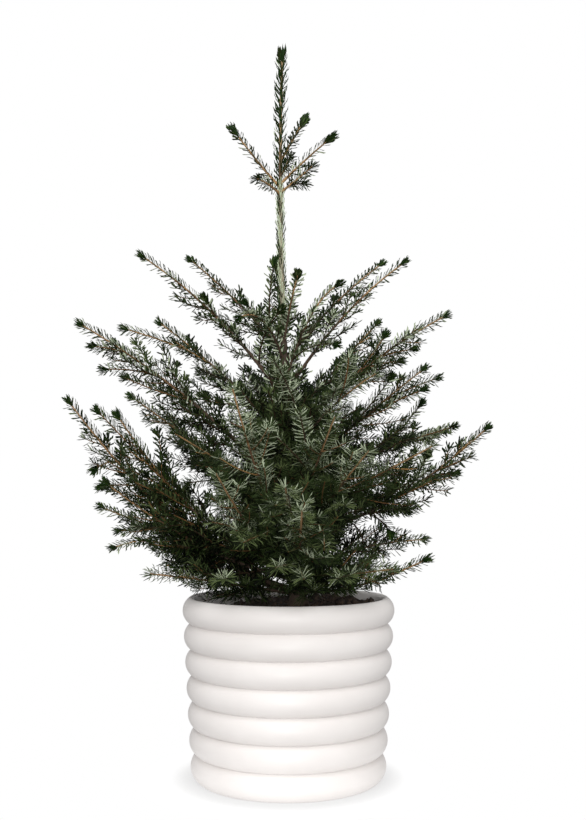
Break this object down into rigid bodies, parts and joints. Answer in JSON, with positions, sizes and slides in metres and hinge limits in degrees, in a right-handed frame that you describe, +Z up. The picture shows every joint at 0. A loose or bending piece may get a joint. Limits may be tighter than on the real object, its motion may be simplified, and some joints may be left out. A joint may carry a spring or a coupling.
{
  "type": "potted spruce tree",
  "caption": "Young Serbian spruce with tiered, upswept needle boughs and a long bare leader, standing in a round white planter made of stacked rings.",
  "frame": {"origin": "middle of the pot's flat underside", "axes": "+Z up along the tree, +X to the viewer's right, +Y away from the viewer, all as in the picture"},
  "size_m": [0.6331, 0.5612, 1.0598],
  "materials": {
    "pot": "satin white glaze",
    "soil": "dark moist potting soil, lumpy",
    "bark": "rough brown bark, ridged",
    "needles": "dark green needles with pale undersides"
  },
  "bodies": {
    "root": {"pot": "pot", "soil": "soil", "trunk": "bark", "foot_back_left_bough": "bark", "foot_left_bough": "bark", "high_left_bough": "bark", "high_right_bough": "bark", "low_back_left_bough": "bark", "low_back_right_bough": "bark", "low_left_bough": "bark", "low_right_bough": "bark", "middle_back_left_bough": "bark", "middle_left_bough": "bark", "middle_right_bough": "bark", "middle_right_lower_bough": "bark", "crown_back_right_sprays": "needles", "crown_back_sprays": "needles", "crown_front_left_sprays": "needles", "crown_front_right_sprays": "needles", "crown_left_sprays": "needles", "crown_right_sprays": "needles", "foot_back_left_sprays": "needles", "foot_back_right_sprays": "needles", "foot_back_sprays": "needles", "foot_front_left_sprays": "needles", "foot_front_right_sprays": "needles", "foot_front_sprays": "needles", "foot_left_back_sprays": "needles", "foot_left_lower_sprays": "needles", "foot_left_sprays": "needles", "foot_right_sprays": "needles", "high_back_left_sprays": "needles", "high_back_right_sprays": "needles", "high_back_sprays": "needles", "high_front_left_sprays": "needles", "high_front_right_sprays": "needles", "high_front_sprays": "needles", "high_left_sprays": "needles", "high_right_sprays": "needles", "leader_sprays": "needles", "low_back_left_sprays": "needles", "low_back_right_sprays": "needles", "low_back_sprays": "needles", "low_front_left_sprays": "needles", "low_front_right_sprays": "needles", "low_front_sprays": "needles", "low_left_front_sprays": "needles", "low_left_sprays": "needles", "low_right_front_sprays": "needles", "low_right_sprays": "needles", "middle_back_left_sprays": "needles", "middle_back_right_sprays": "needles", "middle_back_sprays": "needles", "middle_front_left_sprays": "needles", "middle_front_right_sprays": "needles", "middle_front_sprays": "needles", "middle_left_sprays": "needles", "middle_right_lower_sprays": "needles", "middle_right_sprays": "needles"}
  },
  "joints": []
}
